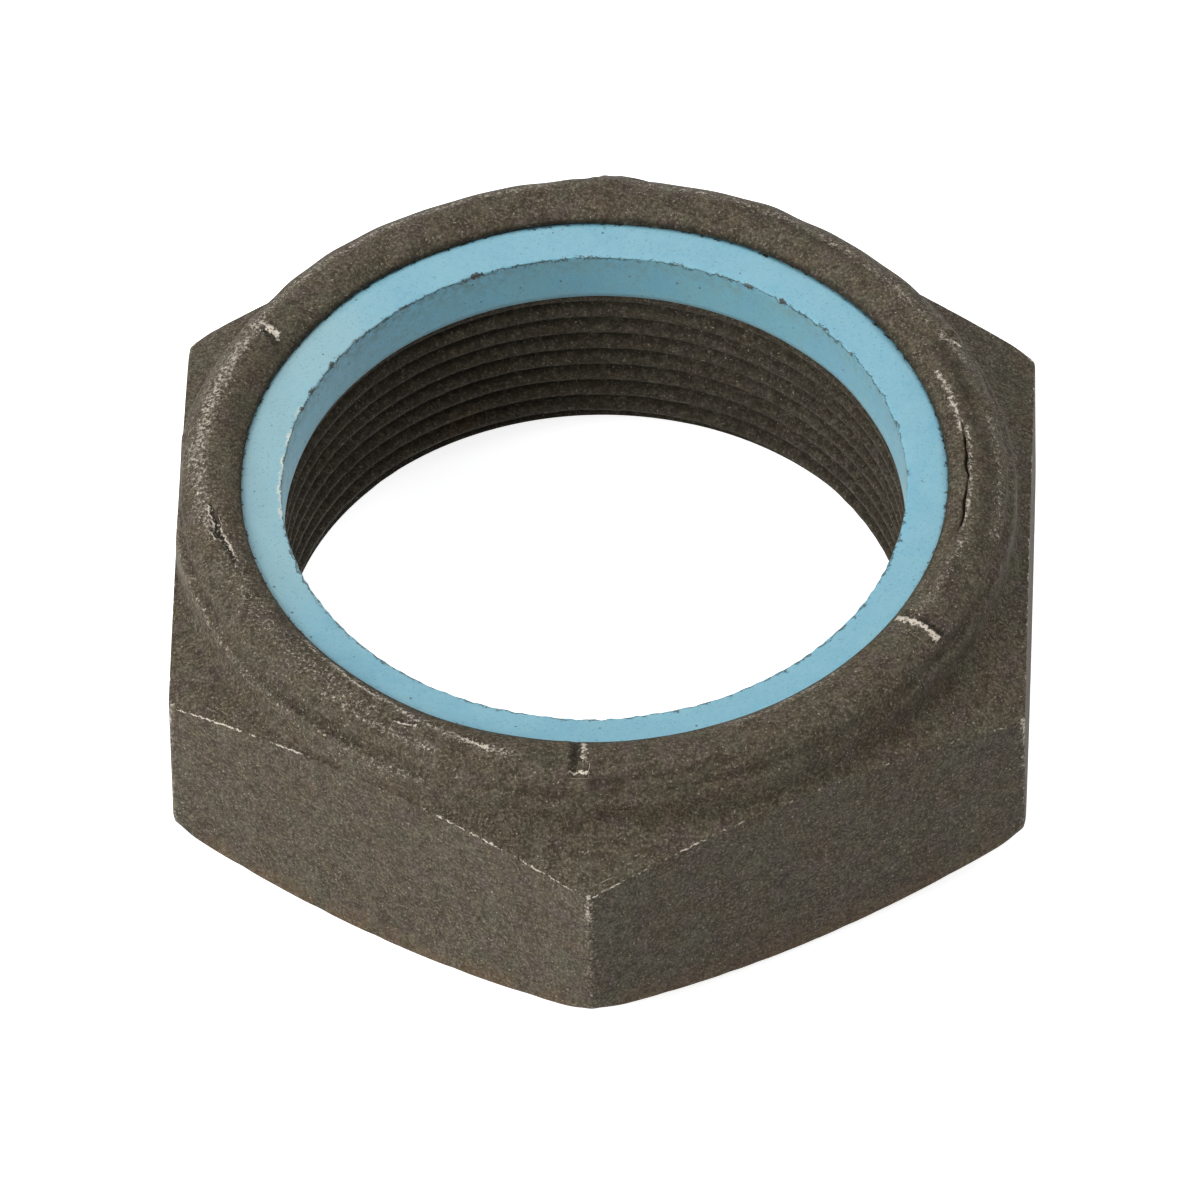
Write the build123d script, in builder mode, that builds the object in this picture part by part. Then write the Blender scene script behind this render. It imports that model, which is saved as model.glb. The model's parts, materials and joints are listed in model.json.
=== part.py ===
from build123d import *
import os
from math import cos, radians, sqrt, tan

# Nylon insert lock nut for a fine M42 thread, as used on spindles and axle ends.
# The nut stands on its bearing face: Z = 0 is that face, +Z runs up the thread axis, and
# one corner of the hexagon points along -Y. All sizes are in millimetres.
#
# It is two pieces. The steel body is turned from hexagon bar, with a collar on top whose rim
# was rolled inwards. The nylon ring sits on a ledge inside the collar, held by that rim.

os.makedirs("parts", exist_ok=True)

# ---- Thread and bore ----
thread_diameter = 42.0
thread_pitch = 1.5
countersink_margin = 1.9  # how far the countersink opens beyond the thread, on the radius
countersink_angle = 45.0  # from the axis

# ---- Hexagon, 55 across its flats ----
flat_margin = 0.1  # how far the flats stand outside the collar
corner_rounding = 0.5
bearing_inset = 1.1  # how far the edge of the bearing face lies inside the flats
bottom_chamfer_angle = 25.0  # from the bearing face
top_chamfer_angle = 20.0  # from the level
hexagon_height = 15.35  # up to the root of the collar
stock_allowance = 1.0  # the bar is this much longer and wider than the finished profile

# ---- Collar, outside ----
collar_wall = 2.6  # thickness around the pocket
shoulder_drop = 0.35  # from the crease down to the shoulder of the collar wall
shoulder_bevel = 0.2
crease_depth = 0.55  # how far the crease lies inside the collar wall
crease_drop = 0.55  # from the end of the roll down to the crease
roll_undercut = 0.1  # how far the end of the roll lies inside the crease
roll_drop = 0.9  # from the crest down to the end of the roll

# ---- Collar, inside ----
seat_height = 14.3  # ledge that carries the nylon ring, also the top of the thread
pocket_margin = 3.8  # width of the ledge outside the thread's major radius
pocket_wall_height = 2.6  # straight wall above the ledge, before the rim turns inwards
lip_overlap = 1.9  # how far the rolled rim reaches in over the ring
lip_edge = 0.3  # thickness of the rim at its very edge
lip_bevel = 0.05
crest_rise = 0.95  # from the edge of the rim up to the crest of the roll

# ---- Nylon ring ----
ring_thickness = 3.95  # under the edge of the rim
ring_dish = 0.4  # the top falls this much from the rim to the bore
ring_clearance = 0.05  # to the pocket wall and to the underside of the rim
ring_bore_relief = 0.08  # the ring's bore is this much wider in radius than the thread's
ring_edge_bevel = 0.2

# ---- Marks left between the six segments of the rolling die ----
die_segments = 6
die_mark_depth = 0.35

# ---- Thread and bore, worked out ----
# The minor diameter of a metric internal thread is the major less 5/8 of the height of the
# fundamental triangle on each side, and that height is sqrt(3)/2 of the pitch.
bore_radius = thread_diameter / 2 - 5 / 8 * sqrt(3) / 2 * thread_pitch
countersink_radius = thread_diameter / 2 + countersink_margin
countersink_depth = (countersink_radius - bore_radius) / tan(radians(countersink_angle))

# ---- Hexagon and collar radii, worked out from the thread outwards ----
pocket_radius = thread_diameter / 2 + pocket_margin
collar_radius = pocket_radius + collar_wall
flat_radius = collar_radius + flat_margin
bearing_radius = flat_radius - bearing_inset
corner_angle = 360 / 6 / 2
turned_radius = flat_radius / cos(radians(corner_angle)) + stock_allowance
bottom_chamfer_top = (turned_radius - bearing_radius) * tan(radians(bottom_chamfer_angle))
top_chamfer_foot = hexagon_height - (turned_radius - collar_radius) * tan(radians(top_chamfer_angle))

# ---- Collar, worked out ----
pocket_top = seat_height + pocket_wall_height
lip_radius = pocket_radius - lip_overlap
lip_height = seat_height + ring_thickness
crest_height = lip_height + crest_rise
roll_end_height = crest_height - roll_drop
crease_height = roll_end_height - crease_drop
shoulder_height = crease_height - shoulder_drop
crease_radius = collar_radius - crease_depth
roll_end = (crease_radius - roll_undercut, roll_end_height)
roll_start = (lip_radius + lip_bevel, lip_height + lip_edge)
crest = ((roll_end[0] + roll_start[0]) / 2, crest_height)

# ---- Nylon ring, worked out ----
ring_radius = pocket_radius - ring_clearance
ring_bore_radius = bore_radius + ring_bore_relief
ring_wall_top = pocket_top - ring_clearance
ring_rim_height = lip_height - ring_clearance
ring_bore_height = lip_height - ring_dish


# ---- Rolling die mark: a V-shaped rod bent along the roll of the rim ----
with BuildPart() as die_mark:
    with BuildLine(Plane.XZ) as mark_path:
        ThreePointArc(roll_end, crest, roll_start)
    with BuildSketch(Plane(mark_path.line @ 0, x_dir=(0, 1, 0), z_dir=mark_path.line % 0)):
        Rectangle(sqrt(2) * die_mark_depth, sqrt(2) * die_mark_depth, rotation=45)
    sweep()


# ---- Steel body ----
with BuildPart() as nut_body:
    # Turned ring: thread wall, countersink, bearing face, both chamfers, collar and rolled rim
    with BuildSketch(Plane.XZ):
        with BuildLine():
            Polyline(
                (bore_radius, seat_height),
                (bore_radius, countersink_depth),
                (countersink_radius, 0),
                (bearing_radius, 0),
                (turned_radius, bottom_chamfer_top),
                (turned_radius, top_chamfer_foot),
                (collar_radius, hexagon_height),
                (collar_radius, shoulder_height - shoulder_bevel),
                (collar_radius - shoulder_bevel, shoulder_height),
                (crease_radius, crease_height),
                roll_end,
            )
            ThreePointArc(roll_end, crest, roll_start)
            Polyline(
                roll_start,
                (lip_radius, lip_height),
                (pocket_radius, pocket_top),
                (pocket_radius, seat_height),
                (bore_radius, seat_height),
            )
        make_face()
    revolve(axis=Axis.Z)

    # Hexagon bar that the ring was turned from
    with BuildSketch():
        RegularPolygon(flat_radius, 6, major_radius=False, rotation=corner_angle)
        fillet(vertices(), corner_rounding)
    extrude(amount=crest_height + stock_allowance, mode=Mode.INTERSECT)

    # One mark in the rim above each corner of the hexagon
    with PolarLocations(0, die_segments, start_angle=corner_angle):
        add(die_mark.part, mode=Mode.SUBTRACT)

nut_body.part.label = "nut_body"
export_step(nut_body.part, "parts/nut_body.step")


# ---- Nylon ring ----
with BuildPart() as nylon_insert:
    with BuildSketch(Plane.XZ) as ring_section:
        with BuildLine():
            Polyline(
                (ring_bore_radius, seat_height),
                (ring_radius, seat_height),
                (ring_radius, ring_wall_top),
                (lip_radius, ring_rim_height),
                (ring_bore_radius, ring_bore_height),
                close=True,
            )
        make_face()
        bore_corners = ring_section.vertices().group_by(Axis.X)[0]
        chamfer(bore_corners.sort_by(Axis.Y)[-1], ring_edge_bevel)
    revolve(axis=Axis.Z)

nylon_insert.part.label = "nylon_insert"
export_step(nylon_insert.part, "parts/nylon_insert.step")
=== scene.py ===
# %% [markdown]
# # A nylon insert lock nut, dressed in Blender
#
# The nut is two pieces. A steel body is turned from hexagon bar, and its thin collar is rolled
# inwards over a nylon ring that grips the spindle's thread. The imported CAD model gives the
# sizes. Here both pieces are made again as fine meshes, because a thread, a crimped rim, a
# crack and broken edges are too small for the CAD model to carry.

import json

import bpy
import numpy as np
from mathutils import Matrix, Vector


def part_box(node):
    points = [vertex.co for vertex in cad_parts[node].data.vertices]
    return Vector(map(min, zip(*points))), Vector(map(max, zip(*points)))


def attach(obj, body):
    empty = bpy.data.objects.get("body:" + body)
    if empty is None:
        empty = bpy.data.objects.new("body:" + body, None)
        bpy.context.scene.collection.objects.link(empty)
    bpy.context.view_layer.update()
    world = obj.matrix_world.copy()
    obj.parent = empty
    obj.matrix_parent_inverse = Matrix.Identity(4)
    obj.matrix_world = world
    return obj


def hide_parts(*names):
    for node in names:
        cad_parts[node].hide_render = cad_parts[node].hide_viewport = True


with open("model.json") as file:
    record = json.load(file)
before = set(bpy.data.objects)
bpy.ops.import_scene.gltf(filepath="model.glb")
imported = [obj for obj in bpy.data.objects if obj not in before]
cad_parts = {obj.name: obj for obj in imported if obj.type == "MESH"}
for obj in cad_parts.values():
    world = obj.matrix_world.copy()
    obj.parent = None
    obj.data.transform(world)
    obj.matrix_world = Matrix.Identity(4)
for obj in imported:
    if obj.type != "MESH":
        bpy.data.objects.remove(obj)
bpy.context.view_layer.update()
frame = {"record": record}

# %% [markdown]
# ## Sizes
#
# The shapes below are worked out in millimetres and turned into metres when a mesh is made.
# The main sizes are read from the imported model, so the meshes lie where the CAD solids are.
# The smaller ones describe the section of the collar, and they are the sizes a turner would
# find on the drawing.

# %% Sizes read from the frame, and sizes of the section
MM = 0.001
nut_high = np.array(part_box("nut_body")[1]) / MM
ring_low, ring_high = (np.array(corner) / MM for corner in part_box("nylon_insert"))
mounts = {mount["name"]: mount for mount in frame["record"]["mounts"]}

flat_radius = nut_high[0]
crest_height = nut_high[2]
seat_height = ring_low[2]
bore_radius = mounts["spindle_thread"]["dims"]["r_mm"]
ring_clearance = 0.05
pocket_radius = ring_high[0] + ring_clearance
rim_underside_height = ring_high[2] + ring_clearance

corner_rounding = 0.5
hexagon_height = 15.35
bottom_slope = np.tan(np.radians(25))
top_slope = np.tan(np.radians(20))
flat_margin, bearing_inset = 0.1, 1.1
lip_overlap, lip_bevel, lip_edge = 1.9, 0.05, 0.3
pocket_wall_height = 2.6
roll_inset, roll_drop = 0.65, 0.9
crease_depth, crease_drop = 0.55, 0.55
shoulder_drop = 0.4
print("across flats", round(2 * flat_radius, 2), "bore", round(2 * bore_radius, 2))
print("height", round(crest_height, 2))

# %% Radii and heights that follow from them
collar_radius = flat_radius - flat_margin
bearing_radius = flat_radius - bearing_inset
lip_radius = pocket_radius - lip_overlap
countersink_radius = lip_radius
pocket_top = seat_height + pocket_wall_height
roll_end = np.array([collar_radius - roll_inset, crest_height - roll_drop])
roll_start = np.array([lip_radius + lip_bevel, rim_underside_height + lip_edge])
crease = np.array([collar_radius - crease_depth, roll_end[1] - crease_drop])
shoulder = np.array([collar_radius, crease[1] - shoulder_drop])
print("crease at radius", round(crease[0], 2), "height", round(crease[1], 2))

# %% [markdown]
# ## Columns of the grid
#
# Every surface of the nut is a grid of two parameters: the azimuth round the axis, and the
# place along the section. The six corners of the hexagon and the six marks in the rim need
# fine columns, and the middle of a flat doesn't, so the columns are drawn together round each
# corner by a sine. The bar on this nut is a trifle large and off centre, so the outline of the
# hexagon is worked out with an offset.

# %% Azimuths, and the outline of the hexagon
SECTORS = 6
COLUMNS_PER_SECTOR = 112
GATHERING = 0.62
TURN = 2 * np.pi
BAR_OFFSET = np.array([0.60, -0.20])
BAR_OVERSIZE = 0.15
CORNER_SHARPNESS = np.log(2) / (corner_rounding * (1 / np.cos(np.pi / SECTORS) - 1))


def column_azimuths():
    """Azimuth = corner + 30 degrees * (s - GATHERING * sin(pi s) / pi), with s from -1 to 1 in
    each sector."""
    s = np.arange(COLUMNS_PER_SECTOR) / COLUMNS_PER_SECTOR * 2 - 1
    local = np.pi / SECTORS * (s - GATHERING * np.sin(np.pi * s) / np.pi)
    corners = -np.pi / 2 + np.arange(SECTORS) * TURN / SECTORS
    return (corners[:, None] + local).ravel()


def hexagon_radius(azimuth):
    """Soft minimum over the flats of distance / cos(angle from the flat's middle). The bar sat a
    little off the chuck's axis, so a flat's distance is the bar's own plus the offset along it."""
    middles = np.arange(SECTORS) * TURN / SECTORS
    shift = BAR_OFFSET[0] * np.cos(middles) + BAR_OFFSET[1] * np.sin(middles)
    distance = flat_radius + BAR_OVERSIZE + shift
    facing = np.cos(azimuth[:, None] - middles)
    reach = distance / np.maximum(facing, 0.3)
    nearest = reach.min(axis=1)
    spread = np.exp(-CORNER_SHARPNESS * (reach - nearest[:, None])).sum(axis=1)
    return nearest - np.log(spread) / CORNER_SHARPNESS


def from_corner(azimuth):
    """Signed angle in radians from the nearest corner of the offset hexagon: the smallest of the
    six differences, each wrapped to half a turn."""
    nominal = -np.pi / 2 + np.arange(SECTORS) * TURN / SECTORS
    share = BAR_OFFSET * np.cos(np.pi / SECTORS) / flat_radius
    corners = np.arctan2(np.sin(nominal) + share[1], np.cos(nominal) + share[0])
    gaps = (azimuth[..., None] - corners + np.pi) % TURN - np.pi
    nearest = np.abs(gaps).argmin(axis=-1)[..., None]
    return np.take_along_axis(gaps, nearest, axis=-1)[..., 0]


azimuth = column_azimuths()
hex_radius = hexagon_radius(azimuth)
print("columns", azimuth.size, "corner radius", round(hex_radius.max(), 2))

# %% [markdown]
# ## Randomness that closes on itself
#
# Wear is irregular, but it has to meet itself after a full turn, and it must be the same on
# every run. A sum of cosines with whole wave numbers round the axis and seeded phases does
# both, and it is smooth, so it can move vertices.

# %% Seeded waves


def ripple(seed, slowest, fastest, terms=24, along=0.0, at=azimuth):
    """Sum of cosines of (n * azimuth + m * along + phase), n whole, scaled to a spread of about
    one."""
    draw = np.random.default_rng(seed)
    n = draw.integers(slowest, fastest + 1, terms) * draw.choice([-1, 1], terms)
    phase = draw.uniform(0, TURN, terms)
    m = draw.uniform(0.3, 1.0, terms)
    at, along = np.broadcast_arrays(at, along)
    angle = np.multiply.outer(at, n) + np.multiply.outer(along, m) + phase
    return np.cos(angle).sum(axis=-1) * np.sqrt(2 / terms)


def smooth_step(value, low, high):
    """0 below low, 1 above high, and 3t^2 - 2t^3 between them."""
    t = np.clip((value - low) / (high - low), 0, 1)
    return t * t * (3 - 2 * t)


def window(value, low, high, soft):
    """1 between low and high, falling smoothly to 0 over the width soft on either side."""
    return smooth_step(value, low - soft, low) * (1 - smooth_step(value, high, high + soft))


def turned_from(degrees, at=azimuth):
    """Signed angle in degrees from the given azimuth, from -180 to 180."""
    return (np.degrees(at) - degrees + 180) % 360 - 180


print("ripple spread", round(float(ripple(1, 3, 9).std()), 2))

# %% [markdown]
# ## Sections made of straight runs and bends
#
# A section is a list of corner points in radius and height. Each corner is rounded by a
# quadratic curve that leaves and meets the straight runs a chosen distance away. The points
# may differ from column to column, which is how one section serves the flats and the corners
# of the hexagon alike, and keeps mesh lines exactly on the edges.

# %% Section helpers


def point(radius, height):
    """A section point for every column: an array of two rows, radius and height."""
    return np.stack([radius + 0 * azimuth, height + 0 * azimuth])


def toward(start, end, reach):
    """The point reach away from start on the way to end, but never past 0.45 of the way."""
    gap = end - start
    length = np.maximum(np.hypot(*gap), 1e-9)
    return start + gap * np.minimum(reach / length, 0.45)


def bent_path(corners, reaches, bend_rows, run_rows):
    """Rows of the section: at each inner corner P a curve (1-t)^2 A + 2t(1-t) P + t^2 B, where A
    and B lie reach away on its two runs, and evenly spaced rows on each run between the curves."""
    rows = [corners[0][None]]
    leave = corners[0]
    for k in range(1, len(corners)):
        last = k == len(corners) - 1
        arrive = corners[k] if last else toward(corners[k], corners[k - 1], reaches[k])
        t = (np.arange(1, run_rows[k - 1] + 1) / (run_rows[k - 1] + 1))[:, None, None]
        rows.append(leave + (arrive - leave) * t)
        if last:
            rows.append(arrive[None])
            break
        leave = toward(corners[k], corners[k + 1], reaches[k])
        t = np.linspace(0, 1, bend_rows[k])[:, None, None]
        rows.append((1 - t) ** 2 * arrive + 2 * t * (1 - t) * corners[k] + t**2 * leave)
    return np.concatenate(rows)


def circle_through(a, b, c):
    """Centre and radius of the circle through three points, from two perpendicular bisectors."""
    sides = 2 * np.array([b - a, c - a])
    centre = np.linalg.solve(sides, np.array([b @ b - a @ a, c @ c - a @ a]))
    return centre, np.hypot(*(a - centre))


def outward(rows):
    """Unit normals of the section rows: the tangent along the rows turned by a right angle."""
    tangent = np.gradient(rows, axis=0)
    normal = np.stack([tangent[:, 1], -tangent[:, 0]], axis=1)
    return normal / np.maximum(np.hypot(normal[:, 0], normal[:, 1]), 1e-9)[:, None]


# %% [markdown]
# ## The outside of the steel body
#
# The real body is bar stock with its corners turned off at both ends. Where a turned cone cuts
# a flat, the edge bows in a curve, which falls out of the sum here: the edge's height is the
# cone's slope times the hexagon's radius at that azimuth. The edges have been knocked about,
# so the width of their rounding wanders, and chips bite into it. Where the bar sat off centre,
# a flat cuts a little into the collar, so the collar's wall never lies outside the flat.

# %% Section of the outside, from the countersink to the end of the roll
collar_wall = np.minimum(collar_radius, hex_radius - 0.02)
top_edge_height = hexagon_height - (hex_radius - collar_wall) * top_slope
bottom_edge_height = (hex_radius - bearing_radius) * bottom_slope
chips = np.maximum(ripple(11, 40, 170, 40) - 0.9, 0)
at_corner = np.exp(-((np.degrees(from_corner(azimuth)) / 1.8) ** 2))
at_rear = smooth_step(np.sin(azimuth), 0.2, 0.5)
top_edge_wear = 0.06 + 0.08 * chips + 0.55 * at_corner * at_rear
bottom_edge_wear = 0.12 + 0.05 * np.maximum(ripple(12, 20, 90), 0) + 0.80 * at_corner

outside_corners = [
    point(countersink_radius, 0),
    point(bearing_radius, 0),
    point(hex_radius, bottom_edge_height),
    point(hex_radius, top_edge_height),
    point(collar_wall, hexagon_height),
    point(collar_wall - 0.05, shoulder[1]),
    point(*crease),
    point(*roll_end),
]
outside = bent_path(
    outside_corners,
    reaches=[0, 0.25, bottom_edge_wear, top_edge_wear, 0.9, 0.35, 0.3],
    bend_rows=[0, 3, 4, 5, 7, 6, 5],
    run_rows=[2, 4, 6, 6, 4, 1, 0],
)
print("outside rows", outside.shape[0])

# %% [markdown]
# ## The roll
#
# A set of six jaws bent the collar's edge inwards over the ring. Its section is close to an
# arc, from the crease outside to the thin edge inside. The rows are drawn together where the
# metal cracked, so that a hair-thin crack can be cut into the mesh itself.

# %% Section of the roll, and of the hidden inside
ROLL_ROWS = 30
crack_radius = 24.15
roll_centre, roll_radius = circle_through(
    roll_end, np.array([(roll_end[0] + roll_start[0]) / 2, crest_height]), roll_start
)
roll_from = np.arctan2(*(roll_end - roll_centre)[::-1])
roll_to = np.arctan2(*(roll_start - roll_centre)[::-1])
crack_angle = np.arccos((crack_radius - roll_centre[0]) / roll_radius)
crack_wander = 0.018 * ripple(21, 18, 60) + 0.01 * ripple(22, 60, 140)


def roll_section():
    """Centre + radius * (cos, sin) of an angle that runs evenly along the roll, with five more rows
    beside the crack, all of which follow the crack's wandering line."""
    even = np.linspace(roll_from, roll_to, ROLL_ROWS + 1)[1:]
    beside = crack_angle + np.array([-0.05, -0.022, 0, 0.022, 0.05])
    angle = np.sort(np.concatenate([even[np.abs(even - crack_angle) > 0.03], beside]))[:, None]
    angle = angle + crack_wander * np.exp(-(((angle - crack_angle) / 0.15) ** 2))
    return roll_centre[:, None] + roll_radius * np.stack([np.cos(angle), np.sin(angle)], axis=1)


inside_corners = [
    point(*roll_start),
    point(lip_radius, rim_underside_height),
    point(pocket_radius, pocket_top),
    point(pocket_radius, seat_height),
    point(bore_radius + 0.6, seat_height),
]
inside = bent_path(
    inside_corners,
    reaches=[0, 0.06, 0.1, 0.1],
    bend_rows=[0, 3, 2, 2],
    run_rows=[1, 2, 1, 1],
)
fine = np.concatenate([outside, roll_section(), inside[1:]])
print("section rows", fine.shape[0])

# %% [markdown]
# ## Marks of use on the rim
#
# Between two jaws the metal is pinched into a small groove or a ridge, in line with each
# corner of the hexagon. No two are alike: one stands up as a bump, one is a clean groove,
# others are scored bright. All of them are offsets along the surface normal, worked out for
# the whole grid at once.

# %% Offsets of the outside
radius, height = fine[:, 0], fine[:, 1]
columns = azimuth[None] + 0 * radius
past_lip = smooth_step(radius, lip_radius - 0.05, lip_radius + 0.5)
on_roll = smooth_step(height, crease[1], roll_end[1]) * past_lip
on_collar = smooth_step(height, hexagon_height + 0.3, shoulder[1])
offset = np.zeros_like(radius)

# Azimuth in degrees, inner and outer radius, depth, half width, height of the raised sides
DIE_MARKS = [
    (-91.0, 22.9, 26.0, 0.42, 0.38, 0.07),
    (-30.2, 23.6, 26.3, 0.20, 0.24, 0.12),
    (29.2, 25.0, 26.4, 0.12, 0.30, 0.12),
    (91.2, 24.6, 26.6, 0.06, 0.25, 0.03),
    (151.0, 23.7, 26.2, 0.22, 0.26, 0.10),
    (-152.6, 24.6, 26.0, 0.10, 0.45, 0.04),
]
for mark_azimuth, mark_in, mark_out, depth, half_width, raised in DIE_MARKS:
    across = np.radians(turned_from(mark_azimuth, columns)) * radius
    length = window(radius, mark_in, mark_out, 0.35) * on_roll
    groove = np.maximum(1 - np.abs(across) / half_width, 0)
    sides = np.exp(-(((np.abs(across) - 1.5 * half_width) / half_width) ** 2))
    offset += length * (raised * sides - depth * groove)

BUMP_HEIGHT = 0.38
bump = np.exp(-(np.abs(np.radians(turned_from(89.4, columns)) * radius / 1.25) ** 3))
offset += BUMP_HEIGHT * bump * on_roll * smooth_step(radius, 24.4, 25.6)
print("die marks", len(DIE_MARKS), "deepest", round(float(offset.min()), 2))

# %% [markdown]
# The collar is not round to the last tenth either. It carries shallow flats and swellings left
# by the jaws, a crease that comes and goes, and on one side a crack that opened along the
# crown when the rim was bent. On the other side the rim is scored by something hard.

# %% Lumps and crease


def near_ring(line_radius, line_height, width, tallness):
    """Falls as exp(-(across / width)^2 - (up / tallness)^2) from a line round the whole nut."""
    across, up = (radius - line_radius) / width, (height - line_height) / tallness
    return np.exp(-(across**2 + up**2))


BROAD_LUMPS = 0.035
FINE_LUMPS = 0.03
CREASE_DEPTH = 0.16
offset += on_collar * BROAD_LUMPS * ripple(31, 3, 14, along=0.8 * radius, at=columns)
offset += on_roll * FINE_LUMPS * ripple(32, 16, 50, along=3.0 * radius, at=columns)
crease_line = near_ring(crease[0], crease[1] + 0.1, 0.35, 0.4)
crease_change = (
    0.55 * window(turned_from(5), -34, 30, 14)
    - 0.35 * window(turned_from(120), -50, 60, 20)
    + 1.1 * window(turned_from(-150), -22, 30, 12)
)
offset -= CREASE_DEPTH * crease_line * (0.35 * ripple(33, 3, 12) + crease_change)
print("deepest after the crease", round(float(offset.min()), 2))

# %% Crack and scores


def arc_line(start, end, radius_start, radius_end):
    """The share of the way from start to end at each vertex, and the radius of a line that runs
    evenly from the one radius to the other on the way."""
    share = turned_from(start, columns) / (end - start)
    return share, radius_start + (radius_end - radius_start) * share


CRACK_DEPTH = 0.55
CRACK_LIPS = 0.06
crack_span = window(turned_from(0.6), -9.6, 9.6, 3.0)
crack_width = 0.014 + 0.018 * crack_span * (0.8 + 0.4 * ripple(34, 30, 110))
angle_on_roll = np.arctan2(height - roll_centre[1], radius - roll_centre[0])
beside_crack = angle_on_roll - crack_angle - crack_wander
crack_cut = np.maximum(1 - np.abs(beside_crack) / np.maximum(crack_width, 0.012), 0)
crack_lips = np.exp(-(((beside_crack + 0.09) / 0.05) ** 2))
offset += on_roll * crack_span * (CRACK_LIPS * crack_lips - CRACK_DEPTH * crack_cut**0.6)

# Start and end azimuth in degrees, radius at both, half width, depth
SCORES = [
    (-171.5, -166.0, 25.05, 24.75, 0.16, 0.14),
    (-168.4, -165.9, 24.72, 24.95, 0.30, 0.24),
    (-165.8, -158.6, 24.80, 24.45, 0.13, 0.12),
    (-119.0, -116.5, 24.9, 24.6, 0.22, 0.10),
    (-108.0, -104.5, 24.5, 24.8, 0.25, 0.08),
]
for *ends, half_width, depth in SCORES:
    share, line = arc_line(*ends)
    wavy_line = line + 0.05 * np.sin(19 * share)
    length = window(share, 0, 1, 0.12)
    offset -= on_roll * length * depth * np.exp(-(((radius - wavy_line) / half_width) ** 2))

fine_normals = outward(fine)
shell = fine + fine_normals * offset[:, None]
shell[:, 1] = np.minimum(shell[:, 1], crest_height + BUMP_HEIGHT)
print("offsets from", round(float(offset.min()), 2), "to", round(float(offset.max()), 2))

# %% [markdown]
# ## The thread
#
# The bore carries a fine right-hand thread of 1.5 mm pitch. Its depth below the crest is a
# trapezium wave of height minus pitch times turns, so the groove climbs by one pitch each
# turn. At the lower end the countersink's cone cuts the thread off: the wall is whichever of
# the two lies further out. The bore takes every second column, which the eye can't tell.

# %% Wall of the bore
THREAD_PITCH = 1.5
THREAD_DEPTH = 5 / 8 * np.sqrt(3) / 2 * THREAD_PITCH
BORE_ROWS = 85
bore_azimuth = azimuth[::2]


def thread_depth(at, level):
    """Depth of the groove below the crest: full within 1/16 pitch of its middle, none beyond 3/8
    pitch, straight between, with both corners softened."""
    turn = level / THREAD_PITCH - at / TURN
    from_middle = np.abs(turn % 1 - 0.5)
    soft_flank = smooth_step(from_middle, 1 / 16 - 0.02, 3 / 8 + 0.02)
    straight_flank = np.clip((from_middle - 1 / 16) / (5 / 16), 0, 1)
    return THREAD_DEPTH * (1 - soft_flank * 0.35 - straight_flank * 0.65)


levels = np.linspace(seat_height, 0.06, BORE_ROWS)[:, None]
cone_radius = countersink_radius - levels
thread_radius = bore_radius + thread_depth(bore_azimuth[None], levels)
chatter = ripple(41, 20, 90, along=9.0 * levels, at=bore_azimuth[None] + 0 * levels)
thread_radius = thread_radius + 0.012 * chatter
bore = np.stack([np.maximum(thread_radius, cone_radius), levels + 0 * thread_radius], axis=1)
print("thread turns", round(seat_height / THREAD_PITCH, 1), "bore rows", BORE_ROWS)

# %% [markdown]
# ## Turning grids into meshes
#
# Rows of radius and height become vertices, and neighbouring rows and columns become quads,
# listed so that they face outwards. Where a fine row meets a coarse one, each coarse cell
# takes a triangle and a quad. What the shader should know about a place, such as bare metal
# or grime, goes along as an attribute of the vertices.

# %% Mesh helpers


def to_vertices(rows, at):
    """x = r cos(azimuth), y = r sin(azimuth), z = height, as a list of points in metres."""
    x, y = rows[:, 0] * np.cos(at), rows[:, 0] * np.sin(at)
    return np.stack([x, y, rows[:, 1]], axis=-1).reshape(-1, 3) * MM


def quads(row_count, column_count, first=0):
    """Quads between neighbouring rows and columns of a grid that closes round the axis."""
    j = np.arange(column_count)
    low = first + np.arange(row_count - 1)[:, None] * column_count
    right = (j + 1) % column_count
    corners = [low + j, low + right, low + right + column_count, low + j + column_count]
    return np.stack(corners, axis=-1).reshape(-1, 4)


def stitch(fine_first, coarse_first, coarse_count, fine_below):
    """Between a fine row and a coarse row with half as many columns, coarse cell m takes the
    triangle (2m, 2m + 1, m) and the quad (2m + 1, 2m + 2, m + 1, m)."""
    m = np.arange(coarse_count)
    a, b, c = (fine_first + (2 * m + step) % (2 * coarse_count) for step in (0, 1, 2))
    p, q = coarse_first + m, coarse_first + (m + 1) % coarse_count
    if fine_below:
        return np.stack([a, b, p], axis=1), np.stack([b, c, q, p], axis=1)
    return np.stack([p, b, a], axis=1), np.stack([p, q, c, b], axis=1)


def make_piece(name, vertices, faces, attributes, material):
    """A smooth-shaded mesh object at the origin, with its attributes and its material."""
    mesh = bpy.data.meshes.new(name)
    mesh.from_pydata(vertices, [], [face for group in faces for face in group.tolist()])
    for label, values in attributes.items():
        layer = mesh.attributes.new(label, "FLOAT", "POINT")
        layer.data.foreach_set("value", np.clip(values, 0, 1).astype(np.float32).ravel())
    mesh.polygons.foreach_set("use_smooth", np.ones(len(mesh.polygons), bool))
    mesh.materials.append(material)
    mesh.update()
    piece = bpy.data.objects.new(name, mesh)
    bpy.context.scene.collection.objects.link(piece)
    triangles = sum(len(group) * (group.shape[1] - 2) for group in faces)
    print(name, "vertices", len(vertices), "triangles", triangles)
    return piece


# %% [markdown]
# ## Building materials from nodes
#
# Both finishes are built from the same few moves: noise in object coordinates, a curve that
# turns noise into patches, and a mix of two colours. The helpers below keep each of those to
# one line, so that a material reads as a recipe.

# %% Node helpers


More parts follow.
